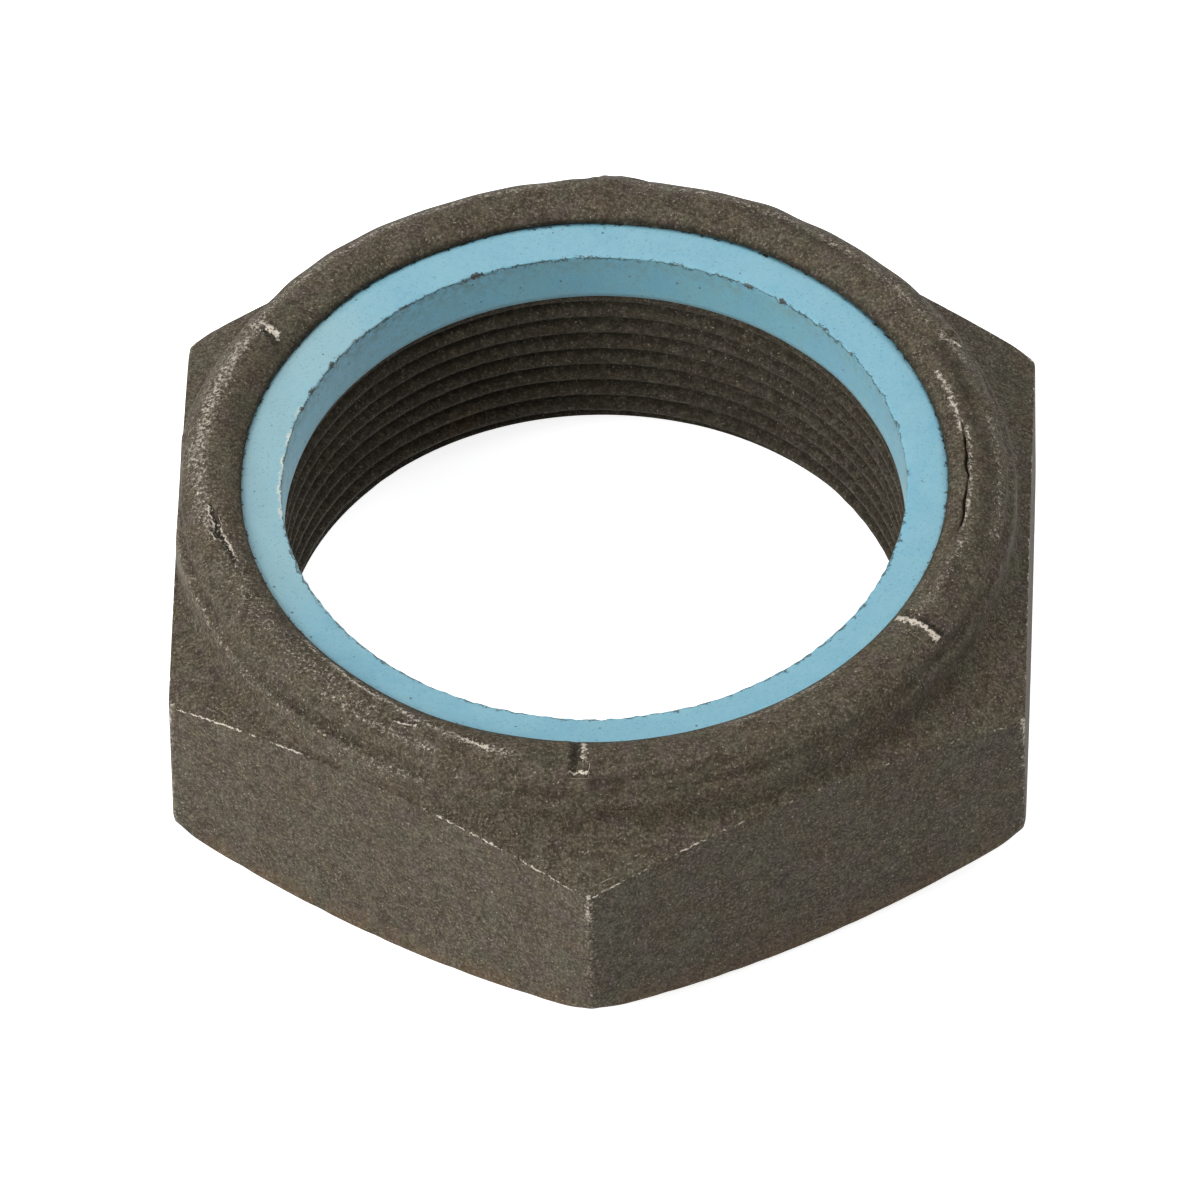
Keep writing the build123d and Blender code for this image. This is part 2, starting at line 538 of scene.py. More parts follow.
class Recipe:
    """A material's node tree, with one method for each kind of node the finishes need."""

    def __init__(self, name):
        self.material = bpy.data.materials.new(name)
        self.material.use_nodes = True
        self.tree = self.material.node_tree
        self.surface = self.tree.nodes["Principled BSDF"]
        self.place = self.node("ShaderNodeTexCoord").outputs["Object"]

    def node(self, kind, links=(), **settings):
        """A new node with its settings made, and its inputs linked or given a value."""
        new = self.tree.nodes.new(kind)
        for key, value in settings.items():
            setattr(new, key, value)
        for socket, source in dict(links).items():
            self.feed(new.inputs[socket], source)
        return new

    def feed(self, socket, source):
        """Link the socket to another node's output, or set it to a plain value."""
        if isinstance(source, bpy.types.NodeSocket):
            self.tree.links.new(source, socket)
        else:
            socket.default_value = source

    def noise(self, size_mm, detail=3.0, roughness=0.6):
        """Noise whose features are about size_mm across, from 0 to 1 around 0.5."""
        scale = 1 / (size_mm * MM)
        inputs = {"Vector": self.place, "Scale": scale, "Detail": detail, "Roughness": roughness}
        return self.node("ShaderNodeTexNoise", inputs).outputs["Fac"]

    def cells(self, size_mm):
        """Distance to the nearest of points strewn size_mm apart."""
        inputs = {"Vector": self.place, "Scale": 1 / (size_mm * MM)}
        return self.node("ShaderNodeTexVoronoi", inputs).outputs["Distance"]

    def between(self, value, low, high, out_low=0.0, out_high=1.0):
        """The value stretched so that low..high becomes out_low..out_high, and held there."""
        inputs = {"Value": value, "From Min": low, "From Max": high}
        inputs |= {"To Min": out_low, "To Max": out_high}
        return self.node("ShaderNodeMapRange", inputs).outputs["Result"]

    def band(self, value, low, soft_low, soft_high, high):
        """0 up to low, 1 from soft_low to soft_high, and 0 again from high on."""
        rising = self.between(value, low, soft_low)
        return self.times(rising, self.between(value, soft_high, high, 1.0, 0.0))

    def math(self, operation, first, second):
        """One operation of the Math node on two values."""
        return self.node("ShaderNodeMath", {0: first, 1: second}, operation=operation).outputs[0]

    def plus(self, first, second):
        """First + second."""
        return self.math("ADD", first, second)

    def times(self, first, second):
        """First * second."""
        return self.math("MULTIPLY", first, second)

    def attribute(self, name):
        """The number that the mesh keeps on its vertices under this name."""
        return self.node("ShaderNodeAttribute", attribute_name=name).outputs["Fac"]

    def blend(self, share, first, second):
        """First colour where share is 0, second where it is 1."""
        inputs = {"Factor": share, "A": first, "B": second}
        mixer = self.node("ShaderNodeMix", data_type="RGBA")
        sockets = {s.name: s for s in mixer.inputs if s.enabled}
        for key, value in inputs.items():
            self.feed(sockets[key], value)
        return next(s for s in mixer.outputs if s.enabled)

    def bump(self, height, distance_mm):
        """The normal tilted by the slope of height, as if height 1 stood distance_mm proud."""
        inputs = {"Height": height, "Distance": distance_mm * MM, "Strength": 1.0}
        return self.node("ShaderNodeBump", inputs).outputs["Normal"]

    def finish(self, **inputs):
        """Fill the shader's sockets, named with an underscore for each space."""
        for key, value in inputs.items():
            self.feed(self.surface.inputs[key.replace("_", " ")], value)
        return self.material


# %% [markdown]
# ## Phosphated steel
#
# The body is dark and matt: a phosphate coat over steel, grainy, brownish grey, with a fine
# glitter of crystals, painted into its colour as tiny glints. Where it was rubbed, the coat is
# thin and paler. Where it was struck, bare metal shows. The attribute called bare says how
# likely that is, and fine noise decides it from grain to grain, so a worn edge breaks up into
# flecks.

# %% Steel finish
LINE_SPAN = 20.0  # how many widths of a scratch the attribute line_share covers from 0 to 1


def steel_finish():
    """Coat colours picked by noise, with painted glints, and laid over them rust, a warm edge tint,
    painted shade and dark streaks, scratches with painted shadow beside them, and bare metal.
    """
    steel = Recipe("phosphated_steel")
    grain = steel.noise(0.20, 3.0, 0.7)
    clumps = steel.noise(0.75, 3.0, 0.6)
    patches = steel.noise(3.2, 4.0, 0.6)
    tints = steel.noise(1.7, 2.0, 0.5)
    dark_brown = (0.022, 0.016, 0.009, 1)
    mid_brown = (0.087, 0.066, 0.043, 1)
    olive_grey = (0.089, 0.082, 0.055, 1)
    purple_brown = (0.092, 0.070, 0.060, 1)
    pale_grain = (0.215, 0.185, 0.135, 1)
    coat = steel.blend(steel.between(patches, 0.38, 0.62), mid_brown, olive_grey)
    coat = steel.blend(steel.between(tints, 0.50, 0.66, 0.0, 0.8), coat, purple_brown)
    coat = steel.blend(steel.between(clumps, 0.36, 0.60, 0.60, 0.0), coat, dark_brown)
    coat = steel.blend(steel.between(grain, 0.30, 0.50, 0.85, 0.0), coat, dark_brown)
    coat = steel.blend(steel.between(grain, 0.52, 0.70, 0.0, 0.72), coat, pale_grain)
    # Painted glints: sparse bright specks in the coat's colour stand for crystals catching the
    # light.
    painted_glint = steel.between(steel.noise(0.15, 0.0), 0.765, 0.82, 0.0, 0.7)
    coat = steel.blend(painted_glint, coat, (0.38, 0.34, 0.26, 1))
    # Rust in the thread, and a thin warm orange tint along the lower edge of the flats.
    rust_and_edge_tint = steel.times(steel.attribute("rust_and_edge_tint"), steel.between(clumps, 0.3, 0.7, 0.6, 1.2))
    coat = steel.blend(rust_and_edge_tint, coat, (0.24, 0.135, 0.062, 1))
    # Painted shade in the crease, down the crack, under the rim's lip and in the thread, and darker
    # streaks on the collar, partly painted shadow: a near-black colour broken up by noise.
    darkening_patches = steel.between(steel.noise(0.5, 5.0, 0.75), 0.3, 0.7, 0.2, 1.5)
    painted_shade_and_dark_streaks = steel.times(steel.attribute("painted_shade_and_dark_streaks"), darkening_patches)
    painted_shade_and_dark_streaks = steel.between(painted_shade_and_dark_streaks, 0.0, 1.0, 0.0, 0.92)
    coat = steel.blend(painted_shade_and_dark_streaks, coat, (0.018, 0.014, 0.008, 1))
    middle = -LINE_SPAN / 2
    fray = steel.between(steel.noise(0.30, 3.0, 0.7), 0.3, 0.7, middle - 0.8, middle + 0.8)
    across = steel.plus(steel.times(steel.attribute("line_share"), LINE_SPAN), fray)
    # Painted shadow along the near side of each scratch, cut and score, as if its wall shaded it.
    shadow_side = steel.band(across, -1.6, -1.3, -0.15, 0.1)
    shadow_side = steel.times(shadow_side, steel.attribute("line_shadow"))
    coat = steel.blend(shadow_side, coat, (0.010, 0.008, 0.006, 1))
    far_side = steel.band(across, 0.0, 0.2, 0.8, 1.1)
    broken = steel.between(steel.noise(0.55, 4.0, 0.75), 0.36, 0.62, -0.50, 0.45)
    struck = steel.between(steel.plus(steel.attribute("line_bright"), broken), 0.30, 0.55)
    struck = steel.times(struck, far_side)
    flecks = steel.between(steel.noise(0.24, 5.0, 0.8), 0.3, 0.7, -0.8, 0.6)
    rubbed = steel.between(steel.plus(steel.attribute("bare"), flecks), 0.30, 0.75)
    bare = steel.math("MAXIMUM", rubbed, struck)
    colour = steel.blend(bare, coat, (0.50, 0.45, 0.38, 1))
    relief = steel.plus(grain, clumps)
    return steel.finish(
        Base_Color=colour,
        Metallic=steel.between(bare, 0.0, 1.0, 0.0, 0.65),
        Roughness=steel.between(grain, 0.3, 0.7, 0.70, 0.55),
        Specular_IOR_Level=0.12,
        Normal=steel.bump(relief, 0.13),
    )


steel_material = steel_finish()
print("steel nodes", len(steel_material.node_tree.nodes))

# %% [markdown]
# ## Where the steel is bare, and where it is darkened by painted shade
#
# Both are numbers on the vertices. The upper edges of the hexagon are nicked bright in some
# stretches and whole in others, the crown of the roll is rubbed, and the marks of the jaws
# shine on one side. Painted shade darkens the crease, the crack, the steel under the rim's lip
# and the roots of the thread, and darker streaks lie on the collar, some of them painted shadow.

# %% Wear attributes of the body
# Start and end azimuth in degrees, radius at both, half width, strength
RUBBED = [
    (150, 178, 25.75, 25.80, 0.75, 0.50),
    (176, 192, 25.70, 25.40, 0.70, 0.42),
    (22.5, 10.0, 23.95, 24.10, 0.26, 0.60),
    (10.0, -9.5, 24.46, 24.38, 0.20, 0.52),
    (-168, -124, 24.50, 24.80, 1.00, 0.28),
    (12.0, -10.0, 26.10, 26.45, 0.30, 0.34),
    (30.0, 24.0, 25.60, 26.10, 0.45, 0.38),
    (-46, -66, 23.20, 23.60, 0.30, 0.42),
    (-140, -120, 23.35, 23.75, 0.32, 0.50),
    (-120, -101, 23.90, 25.00, 0.45, 0.46),
    (-130, -112, 25.60, 25.90, 0.35, 0.35),
    (100, 148, 25.90, 26.00, 0.40, 0.40),
    (34, 84, 25.40, 25.80, 0.45, 0.36),
    (-30, -12, 24.20, 24.60, 0.60, 0.30),
]
bare = np.zeros_like(radius)
for *ends, half_width, strength in RUBBED:
    share, line = arc_line(*ends)
    length = window(share, 0, 1, 0.15) * on_roll
    streak = length * strength * np.exp(-(((radius - line) / half_width) ** 2))
    bare = np.maximum(bare, streak)

corner_line = np.exp(-((np.degrees(from_corner(columns)) / 0.5) ** 2)) * (radius > hex_radius - 0.4)
corner_share = 0.30 + 0.40 * smooth_step(height, 10.5, 13.5)
bare = np.maximum(bare, corner_line * corner_share * (height > bottom_edge_height))

shoulder_line = near_ring(*shoulder, 0.55, 0.80)
bare = np.maximum(bare, 0.24 * shoulder_line * window(turned_from(-150, columns), -24, 32, 12))
print("bare share", round(float(bare.mean()), 3))

# %% Painted shade, dark streaks, rust and a warm edge tint on the body
# Painted shade along the crease.
painted_shade_and_dark_streaks = 0.35 * crease_line * (0.7 + 0.3 * ripple(51, 4, 20))
# Darker streaks on the collar. Those in the scores on the front left, beside the ridges on the
# right and beside the front jaw mark are painted shadow.
# Start and end azimuth in degrees, radius at both, half width, strength
DARKENED = [
    (-172.0, -166.5, 24.98, 24.72, 0.13, 1.0),
    (-169.0, -166.0, 24.78, 24.90, 0.26, 1.0),
    (-166.5, -158.2, 24.72, 24.42, 0.11, 1.0),
    (27.0, 8.0, 24.90, 25.10, 0.45, 0.75),
    (10.0, -12.0, 25.45, 25.75, 0.45, 0.55),
    (-14.0, -24.0, 24.60, 24.90, 0.35, 0.60),
    (-89.0, -84.5, 26.30, 26.40, 0.35, 0.90),
    (-83.0, -70.0, 26.20, 26.30, 0.30, 0.45),
    (145.0, 158.0, 24.90, 25.00, 0.25, 0.60),
    (70.0, 50.0, 25.20, 25.00, 0.30, 0.55),
    (150.0, 172.0, 23.90, 23.90, 0.70, 0.40),
    (-160.0, -135.0, 24.00, 24.20, 0.50, 0.35),
    (-174.0, -126.0, 26.90, 26.90, 0.22, 0.30),
]
for *ends, half_width, strength in DARKENED:
    share, line = arc_line(*ends)
    length = window(share, 0, 1, 0.15) * on_collar
    streak = length * strength * np.exp(-(((radius - line) / half_width) ** 2))
    painted_shade_and_dark_streaks = np.maximum(painted_shade_and_dark_streaks, streak)
# Painted shade down the crack.
painted_shade_and_dark_streaks = np.maximum(painted_shade_and_dark_streaks, on_roll * crack_span * (crack_cut > 0.1))
# Painted shade on the steel under the rim's lip, where it overhangs the ring.
under_lip = smooth_step(radius, lip_radius + 0.35, lip_radius - 0.05) * (height > pocket_top)
painted_shade_and_dark_streaks = np.maximum(painted_shade_and_dark_streaks, under_lip)

# Painted shade in the bore, darkest in the roots of the thread.
bore_turn = levels / THREAD_PITCH - bore_azimuth[None] / TURN
bore_painted_shade = 0.72 + 0.45 * (1 - smooth_step(np.abs(bore_turn % 1 - 0.5), 0.08, 0.34))
rusty_spot = (turned_from(118, bore_azimuth[None]) / 3) ** 2 + ((levels - 4.4) / 0.7) ** 2
bore_rust = np.exp(-rusty_spot)
# A thin warm orange tint along the lower edge of the flats, kept in the same attribute as the rust
# in the thread.
bottom_line = np.abs(height - bottom_edge_height) + np.abs(radius - hex_radius)
rust_and_edge_tint = 0.35 * np.exp(-((bottom_line / 0.16) ** 2))
print("grime share", round(float(painted_shade_and_dark_streaks.mean()), 3), "rust share", round(float(rust_and_edge_tint.mean()), 3))

# %% [markdown]
# ## Lines finer than the mesh
#
# A scratch is thinner than the grid's cells, so painting it on vertices would blur it. What
# does survive between vertices is a distance, since it changes evenly. Each line therefore
# stores how far a vertex lies across it, counted in widths of the line, and the shader paints
# shadow on the near side, as if the line's wall shaded it, and bare metal on the far side,
# both with a sharp edge.

# %% Distance across the nearest line
# Each line's dark strength is painted shadow on its near side, its bright strength bare metal on
# its far side.
LINE_REACH = 3
line_share = np.zeros_like(radius)
line_shadow = np.zeros_like(radius)
line_bright = np.zeros_like(radius)


def draw_line(across, reach, dark, bright):
    """Where reach beats what is there, keep 0.5 + across / LINE_SPAN and the strengths * reach."""
    wins = reach > np.maximum(line_shadow, line_bright)
    line_share[wins] = 0.5 + across[wins] / LINE_SPAN
    line_shadow[wins] = (reach * dark)[wins]
    line_bright[wins] = (reach * bright)[wins]


# Azimuth in degrees, inner and outer radius, slant in degrees per mm, width in mm, dark, bright
CUTS = [
    (-90.1, 22.9, 25.8, 0.0, 0.36, 0.62, 0.42),
    (-30.7, 23.3, 26.4, -0.1, -0.36, 0.38, 1.0),
    (28.6, 25.3, 26.5, -1.6, 0.22, 0.5, 0.50),
    (151.6, 23.8, 25.7, -0.9, -0.40, 0.65, 1.0),
]
for middle, cut_in, cut_out, slant, width, dark, bright in CUTS:
    turned = turned_from(middle, columns) - slant * (radius - cut_in)
    across = np.radians(turned) * radius / width
    reach = window(radius, cut_in, cut_out, 0.15) * on_roll * (np.abs(across) < LINE_REACH)
    draw_line(across, reach, dark, bright)

# Start and end azimuth in degrees, radius at both, width in mm, dark, bright
SCRATCHES = [
    (-172.8, -168.2, 25.10, 24.86, 0.13, 1.0, 0.75),
    (-171.2, -167.2, 24.82, 24.72, -0.20, 1.0, 0.45),
    (-168.0, -160.2, 24.66, 24.22, -0.15, 1.0, 0.52),
    (-167.6, -165.0, 25.15, 24.95, 0.16, 0.4, 0.7),
    (-134.0, -124.0, 23.40, 23.62, 0.12, 0.4, 0.55),
    (-91.8, -89.0, 25.78, 25.78, 0.17, 0.0, 0.9),
    (-119.5, -115.5, 24.95, 24.6, 0.16, 0.6, 0.6),
    (-108.5, -103.5, 24.5, 24.8, 0.18, 0.6, 0.6),
]
for *ends, width, dark, bright in SCRATCHES:
    share, line = arc_line(*ends)
    across = (radius - line) / width
    reach = window(share, 0, 1, 0.06) * on_roll * (np.abs(across) < LINE_REACH)
    draw_line(across, reach, dark, bright)

# Middle azimuth in degrees, half span, strength of the nicks along the upper edge of the flats
NICKED = [
    (-143, 5, 0.62),
    (-132, 2.5, 0.62),
    (-104, 7, 0.42),
    (-94.5, 3, 0.70),
    (-86, 2.5, 0.62),
    (-76, 6, 0.32),
]
EDGE_LINE_WIDTH = 0.12
edge_bright = 0.10 + 0 * azimuth
for middle, half_span, strength in NICKED:
    nick = strength * np.exp(-((turned_from(middle) / half_span) ** 2))
    edge_bright = np.maximum(edge_bright, nick)
past_top_edge = np.where(height < top_edge_height, height - top_edge_height, hex_radius - radius)
on_edge = (np.abs(past_top_edge) < 0.9) * (radius > collar_radius + 0.3)
draw_line(past_top_edge / EDGE_LINE_WIDTH + 0.5, on_edge * 0.99, 0.0, edge_bright + 0 * radius)
print("vertices on lines", int((line_shadow + line_bright > 0).sum()))

# %% [markdown]
# ## The mesh of the steel body
#
# The outside and the bore are two grids, and the bore has half the columns. One row of
# triangles and quads joins them at the seat of the ring, and another at the countersink, so
# the body is one closed surface. It takes the place of the CAD model's body.

# %% Make the steel body
shell_vertices = to_vertices(shell, azimuth)
bore_vertices = to_vertices(bore, bore_azimuth)
fine_count, coarse_count = azimuth.size, bore_azimuth.size
bore_first = len(shell_vertices)
bore_plain = np.zeros(len(bore_vertices))
last_fine_row = bore_first - fine_count
last_bore_row = bore_first + len(bore_vertices) - coarse_count
seat_triangles, seat_quads = stitch(last_fine_row, bore_first, coarse_count, fine_below=True)
mouth_triangles, mouth_quads = stitch(0, last_bore_row, coarse_count, fine_below=False)
nut_body = make_piece(
    "steel_nut_body",
    np.concatenate([shell_vertices, bore_vertices]),
    [
        quads(shell.shape[0], fine_count),
        seat_triangles,
        seat_quads,
        quads(bore.shape[0], coarse_count, bore_first),
        mouth_triangles,
        mouth_quads,
    ],
    {
        "bare": np.concatenate([bare.ravel(), bore_plain]),
        "painted_shade_and_dark_streaks": np.concatenate([painted_shade_and_dark_streaks.ravel(), bore_painted_shade.ravel()]),
        "rust_and_edge_tint": np.concatenate([rust_and_edge_tint.ravel(), bore_rust.ravel()]),
        "line_share": np.concatenate([line_share.ravel(), bore_plain]),
        "line_shadow": np.concatenate([line_shadow.ravel(), bore_plain]),
        "line_bright": np.concatenate([line_bright.ravel(), bore_plain]),
    },
    steel_material,
)
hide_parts("nut_body")
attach(nut_body, "root")

# %% [markdown]
# ## The nylon ring
#
# The ring was cut from tube and pressed in, so its faces are turned and its inner edge is
# ragged where the tool and the spindle's thread tore it. The rim's pressure dishes its top
# towards the bore. Its section is another bent path, and the ragged edge is an offset that
# changes quickly with azimuth.

# %% Section of the ring
RING_ROWS_WALL = 9
RING_ROWS_EDGE = 7
RING_ROWS_TOP = 16
ring_bore_radius = bore_radius + 0.08
ring_taper = 0.14
ring_dish = 0.4
ring_edge_height = rim_underside_height - ring_dish
ring_radius = pocket_radius - ring_clearance
ring_edge = 0.10 + 0.05 * np.maximum(ripple(61, 20, 120), -1)
ring_corners = [
    point(ring_bore_radius - ring_taper, seat_height),
    point(ring_bore_radius, ring_edge_height),
    point(lip_radius, rim_underside_height - ring_clearance),
    point(ring_radius, pocket_top - ring_clearance),
    point(ring_radius, seat_height),
]
ring = bent_path(
    ring_corners,
    reaches=[0, ring_edge, 0.25, 0.2],
    bend_rows=[0, RING_ROWS_EDGE, 4, 3],
    run_rows=[RING_ROWS_WALL, RING_ROWS_TOP, 2, 2],
)
ring_r, ring_z = ring[:, 0], ring[:, 1]
ring_columns = azimuth[None] + 0 * ring_r
print("ring rows", ring.shape[0])

# %% Ragged edge of the ring
EDGE_WIDTH = 0.22
edge_rows = slice(1 + RING_ROWS_WALL, 1 + RING_ROWS_WALL + RING_ROWS_EDGE)
across, up = ring_r - ring_bore_radius, ring_z - ring_z[edge_rows].mean()
at_edge = np.exp(-((across / EDGE_WIDTH) ** 2 + (up / EDGE_WIDTH) ** 2))
torn = (
    window(turned_from(60), -4.5, 5.5, 2)
    + 0.6 * window(turned_from(42), -12, 12, 6)
    + 0.7 * window(turned_from(140), -24, 22, 8)
    + 0.5 * window(turned_from(110), -7, 7, 3)
    + 0.15 * window(turned_from(-90), -70, 70, 12)
    + 0.15
)
ragged = 0.035 * ripple(62, 60, 170, 60) + 0.02 * ripple(63, 20, 60)
waviness = 0.02 * ripple(64, 3, 20, along=2.0 * ring_r + 1.5 * ring_z, at=ring_columns)
ring_offset = at_edge * torn * ragged + waviness * (ring_r < lip_radius - 0.3)
ring = ring + outward(ring) * ring_offset[:, None]
print("ragged edge, largest offset", round(float(np.abs(ring_offset).max()), 2))

# %% [markdown]
# ## Nylon
#
# The ring is light blue, satin on its turned top and a little duller on the bore wall, where
# the colour leans to green. It is peppered with tiny dark specks. Dirt draws a broken dark
# line along the torn edge, with painted shadow under its burr, and a painted shadow runs along
# the rim. One stretch of the edge is scuffed whitish, and on the left the top carries a painted
# sheen and the wall painted light.

# %% Nylon finish
EDGE_SPAN = 10.0  # how many millimetres the attribute past_edge covers from 0 to 1


def nylon_finish():
    """Blues of the turned top and of the bore wall, with specks, scuffs and dirt on them, and
    painted sheen, painted light and painted shadow.
    """
    nylon = Recipe("blue_nylon")
    patches = nylon.noise(3.0, 3.0)
    fine_cloud = nylon.noise(0.45, 3.0)
    tint = nylon.between(patches, 0.38, 0.62)
    blue = nylon.blend(tint, (0.142, 0.352, 0.453, 1), (0.176, 0.382, 0.468, 1))
    cloud = nylon.between(fine_cloud, 0.35, 0.7, 0.0, 0.5)
    blue = nylon.blend(cloud, blue, (0.226, 0.422, 0.493, 1))
    # Painted sheen: the top on the left is paled towards white.
    blue = nylon.blend(nylon.attribute("painted_sheen"), blue, (0.30, 0.46, 0.48, 1))
    wall = nylon.blend(tint, (0.124, 0.318, 0.374, 1), (0.112, 0.307, 0.408, 1))
    # Painted light: the bore wall on the left is made a brighter, clearer blue, as if lit.
    wall = nylon.blend(nylon.attribute("painted_wall_light"), wall, (0.220, 0.550, 0.700, 1))
    by_edge = nylon.between(nylon.attribute("past_edge"), 0.33, 0.44, 0.25, 0.85)
    mottle = nylon.between(nylon.noise(0.6, 5.0, 0.75), 0.40, 0.62)
    wall = nylon.blend(nylon.times(by_edge, mottle), wall, (0.130, 0.255, 0.265, 1))
    blue = nylon.blend(nylon.attribute("wall"), blue, wall)

    pinholes = nylon.between(nylon.noise(0.16, 1.0), 0.30, 0.37, 0.45, 0.0)
    blue = nylon.blend(pinholes, blue, (0.06, 0.16, 0.20, 1))
    specks = nylon.between(nylon.cells(0.8), 0.08, 0.13, 0.9, 0.0)
    sparse = nylon.between(nylon.noise(1.3, 1.0), 0.55, 0.60)
    blue = nylon.blend(nylon.times(specks, sparse), blue, (0.03, 0.05, 0.05, 1))

    middle = -EDGE_SPAN / 2
    wander = nylon.between(nylon.noise(0.9, 5.0, 0.75), 0.3, 0.7, middle - 0.32, middle + 0.32)
    past_edge = nylon.plus(nylon.times(nylon.attribute("past_edge"), EDGE_SPAN), wander)
    whitish = nylon.band(past_edge, -0.04, 0.02, 0.14, 0.24)
    whitish = nylon.times(whitish, nylon.attribute("scuffed"))
    blue = nylon.blend(whitish, blue, (0.56, 0.60, 0.53, 1))
    # Painted shadow under the burr: a broken dark band on the wall just below the torn edge.
    gaps = nylon.between(nylon.noise(0.7, 4.0, 0.8), 0.35, 0.65, -0.5, 0.5)
    left_over = nylon.between(nylon.plus(nylon.attribute("torn"), gaps), 0.25, 0.5, 0.0, 0.9)
    burr_shadow = nylon.times(nylon.band(past_edge, -0.22, -0.14, -0.06, 0.01), left_over)
    blue = nylon.blend(burr_shadow, blue, (0.020, 0.036, 0.034, 1))
    # Dirt along the torn edge, and painted shadow where the top meets the rim, broken up by noise.
    dark_line_gaps = nylon.between(nylon.noise(0.25, 4.0, 0.8), 0.3, 0.7, -0.55, 0.45)
    dirt_and_rim_shadow = nylon.between(nylon.plus(nylon.attribute("dirt_and_rim_shadow"), dark_line_gaps), 0.38, 0.56)
    blue = nylon.blend(dirt_and_rim_shadow, blue, (0.016, 0.024, 0.022, 1))
    return nylon.finish(
        Base_Color=blue,
        Roughness=nylon.between(fine_cloud, 0.3, 0.7, 0.40, 0.54),
        Normal=nylon.bump(nylon.plus(fine_cloud, nylon.noise(0.16, 2.0)), 0.016),
        Subsurface_Weight=0.30,
        Subsurface_Radius=(0.0006, 0.0014, 0.0018),
        Subsurface_Scale=1.0,
    )


nylon_material = nylon_finish()
print("nylon nodes", len(nylon_material.node_tree.nodes))

# %% [markdown]
# ## Wear of the nylon, and its mesh
#
# As on the steel, numbers on the vertices tell the shader where it is: how far past the torn
# edge, on the wall or on the top, where dirt sits on the edge and painted shadow under the
# rim and the burr, and on the left, where the top gets a painted sheen and the wall painted
# light. The ring's last row is joined to its first, so it is closed.

# %% Wear attributes of the ring
on_wall = smooth_step(ring_bore_radius + 0.09 - ring[:, 0], 0, 0.1)
ring_wall = on_wall * (ring[:, 1] < ring_edge_height - 0.02)
# Painted light on the bore wall, strongest on the left.
ring_painted_light = (0.08 + 0.82 * window(turned_from(155), -25, 60, 40)) * ring_wall
# Dirt along the torn edge, and then painted shadow on the top where it runs under the rim's lip.
ring_dirt_and_rim_shadow = at_edge * torn * (0.30 + 0.30 * ripple(65, 20, 150, 60))
by_rim = np.exp(-(((ring[:, 0] - lip_radius) / 0.10) ** 2)) * (ring[:, 1] > pocket_top)
ring_dirt_and_rim_shadow = np.maximum(ring_dirt_and_rim_shadow, by_rim * (0.60 + 0.3 * ripple(66, 20, 140, 60)))
inside_bore = ring_r < ring_bore_radius + 0.03
past_edge = np.where(inside_bore, ring_z - ring_edge_height, ring_r - ring_bore_radius)
past_edge = past_edge - 0.17 * window(turned_from(-90), -75, 75, 15)
near_edge = np.abs(past_edge) < 1.2
scuffs = 0.60 + 0.35 * ripple(67, 12, 60, 40)
ring_scuffed = near_edge * window(turned_from(176), -11, 12, 5) * scuffs
# Painted sheen on the top, on the left.
ring_painted_sheen = window(turned_from(176), -30, 26, 18) * (ring_r > ring_bore_radius) * 0.45
# Strength of the painted shadow under the burr, greatest where the edge is torn and on the left.
burr_shadow = 0.48 + 0.35 * np.clip(torn, 0, 1) + 0.3 * window(turned_from(178), -20, 26, 6)
print("dirty share of the ring", round(float(ring_dirt_and_rim_shadow.mean()), 3))

# %% Make the nylon ring
ring_vertices = to_vertices(ring, azimuth)
ring_quads = quads(ring.shape[0], azimuth.size)
last_row = len(ring_vertices) - azimuth.size
closing = quads(2, azimuth.size)
closing = np.where(closing >= azimuth.size, closing - azimuth.size, closing + last_row)
nylon_ring = make_piece(
    "blue_nylon_ring",
    ring_vertices,
    [ring_quads, closing],
    {
        "wall": ring_wall,
        "dirt_and_rim_shadow": ring_dirt_and_rim_shadow,
        "scuffed": ring_scuffed,
        "painted_sheen": ring_painted_sheen,
        "painted_wall_light": ring_painted_light,
        "torn": near_edge * burr_shadow,
        "past_edge": 0.5 + past_edge / EDGE_SPAN,
    },
    nylon_material,
)
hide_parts("nylon_insert")
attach(nylon_ring, "root")

# %% [markdown]
# ## Floor and light
#
# The nut stands on a plain white floor. The camera, and what the nut mirrors, see the floor and
# the sky as white paper, while the light that they give off stays weak, so the nut's shadow
# shows and its colours hold. A large soft lamp stands low on the left, a weaker one above and
# behind, and a weak one high on the right.

# %% What the camera sees


def seen_directly(tree):
    """The largest of three switches: 1 for rays from the camera and for mirrored or let-through
    ones, 0 for scattered light."""
    rays = tree.nodes.new("ShaderNodeLightPath")
    largest = rays.outputs["Is Camera Ray"]
    for kind in ("Is Glossy Ray", "Is Transmission Ray"):
        larger = tree.nodes.new("ShaderNodeMath")
        larger.operation = "MAXIMUM"
        tree.links.new(largest, larger.inputs[0])
        tree.links.new(rays.outputs[kind], larger.inputs[1])
        largest = larger.outputs[0]
    return largest


# %% Floor
FLOOR_SIZE = 4.0
half = FLOOR_SIZE / 2
floor_corners = [(-half, -half, 0), (half, -half, 0), (half, half, 0), (-half, half, 0)]
floor_mesh = bpy.data.meshes.new("floor")
floor_mesh.from_pydata(floor_corners, [], [(0, 1, 2, 3)])
floor = bpy.data.objects.new("floor", floor_mesh)
bpy.context.scene.collection.objects.link(floor)
paper = Recipe("white_paper")
floor_mesh.materials.append(
    paper.finish(
        Base_Color=(0.80, 0.80, 0.80, 1),
        Roughness=0.9,
        Emission_Color=(1, 1, 1, 1),
        Emission_Strength=paper.between(seen_directly(paper.tree), 0.0, 1.0, 0.0, 0.85),
    )
)
print("floor", FLOOR_SIZE, "m across")

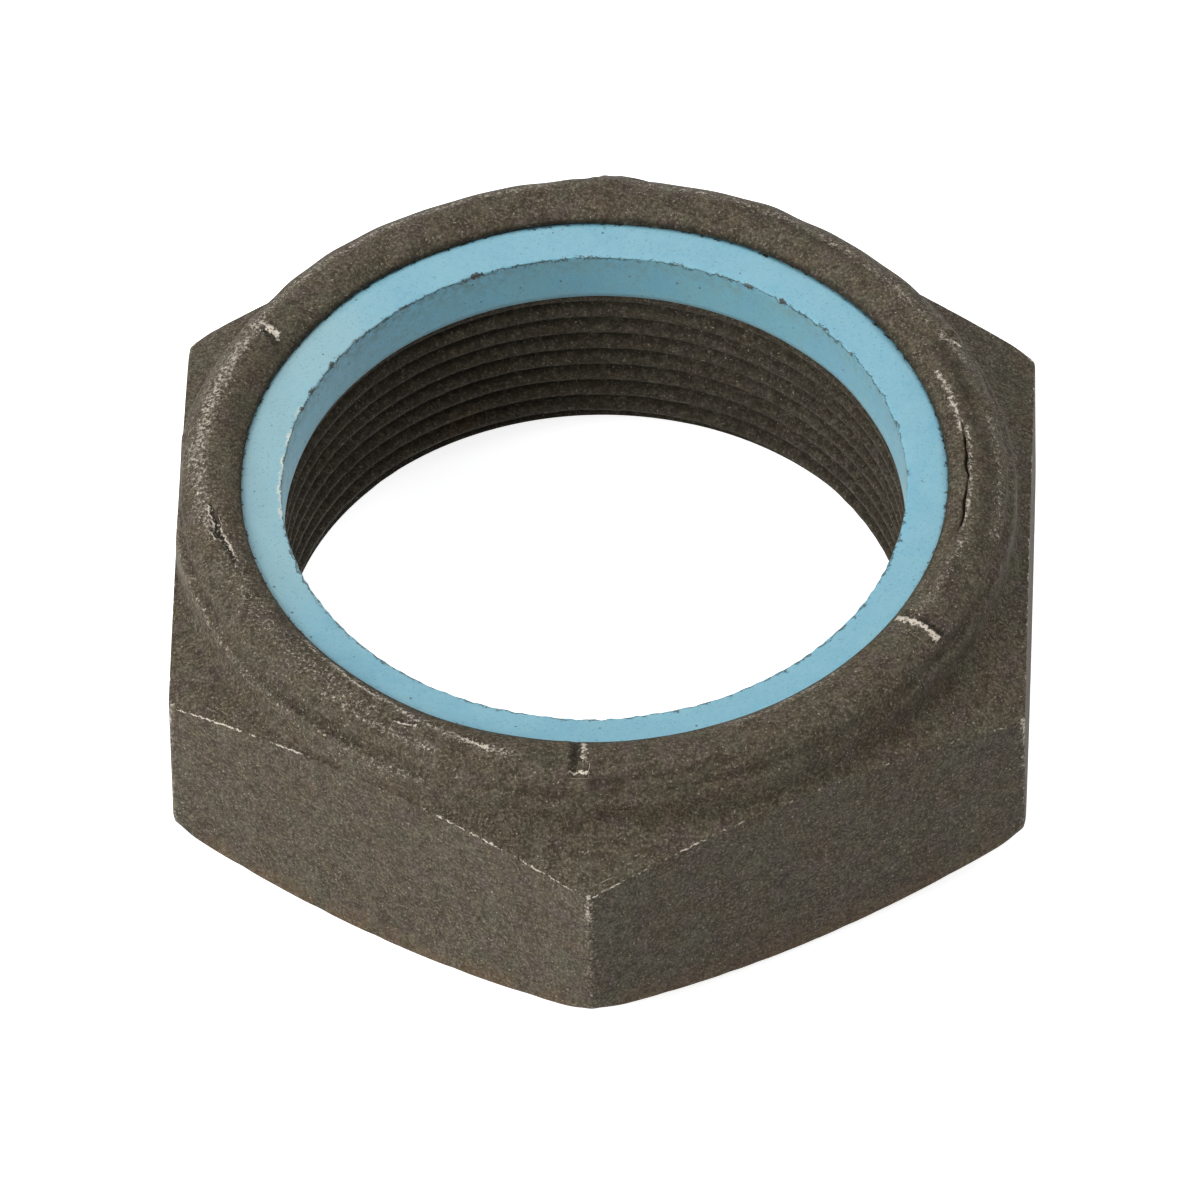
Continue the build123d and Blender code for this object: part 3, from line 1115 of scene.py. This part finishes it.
# %% World
SKY_LIGHT = 0.16
world = bpy.data.worlds.new("studio")
world.use_nodes = True
bpy.context.scene.world = world
sky = world.node_tree
sky_strength = sky.nodes.new("ShaderNodeMapRange")
sky.links.new(seen_directly(sky), sky_strength.inputs["Value"])
sky_strength.inputs["To Min"].default_value = SKY_LIGHT
sky_strength.inputs["To Max"].default_value = 1.0
background = sky.nodes["Background"]
background.inputs["Color"].default_value = (1, 1, 1, 1)
sky.links.new(sky_strength.outputs["Result"], background.inputs["Strength"])
print("sky light", SKY_LIGHT)

# %% Lamps


def soft_lamp(name, azimuth_degrees, elevation_degrees, distance, size, watts):
    """A square area lamp at distance * (cos a cos e, sin a cos e, sin e), facing the nut."""
    a, e = np.radians([azimuth_degrees, elevation_degrees])
    place = Vector((np.cos(a) * np.cos(e), np.sin(a) * np.cos(e), np.sin(e))) * distance
    data = bpy.data.lights.new(name, "AREA")
    data.size = size
    data.energy = watts
    lamp = bpy.data.objects.new(name, data)
    lamp.location = place
    lamp.rotation_euler = place.to_track_quat("Z", "Y").to_euler()
    bpy.context.scene.collection.objects.link(lamp)


soft_lamp("key_left", 212, 35, 0.6, 0.42, 4.3)
soft_lamp("top_back", 75, 62, 0.6, 0.30, 1.03)
soft_lamp("fill_right", 8, 46, 0.6, 0.35, 0.93)

# %% [markdown]
# ## Camera
#
# A long lens from well back, looking down at a little under 48 degrees, shows the rims as
# nearly parallel ellipses. The camera is turned a few degrees round the nut and leans a
# little to one side.

# %% Camera
camera_elevation = np.radians(47.72)
camera_turn = np.radians(2.85)
camera_roll = np.radians(-1.35)
camera_distance = 1.695
camera_aim = Vector((0.20 * MM, 0, 6.87 * MM))
LENS = 780.9
SENSOR_WIDTH = 36

back = Vector((
    np.sin(camera_turn) * np.cos(camera_elevation),
    -np.cos(camera_turn) * np.cos(camera_elevation),
    np.sin(camera_elevation),
))
level_right = Vector((np.cos(camera_turn), np.sin(camera_turn), 0))
level_up = back.cross(level_right)
right = level_right * np.cos(camera_roll) + level_up * np.sin(camera_roll)
up = level_up * np.cos(camera_roll) - level_right * np.sin(camera_roll)
camera_data = bpy.data.cameras.new("camera")
camera_data.lens = LENS
camera_data.sensor_width = SENSOR_WIDTH
camera = bpy.data.objects.new("camera", camera_data)
facing = Matrix((right, up, back)).transposed().to_4x4()
camera.matrix_world = Matrix.Translation(camera_aim + back * camera_distance) @ facing
bpy.context.scene.collection.objects.link(camera)
bpy.context.scene.camera = camera
bpy.context.scene.view_settings.view_transform = "Standard"
print("camera at", [round(v, 3) for v in camera.matrix_world.translation])
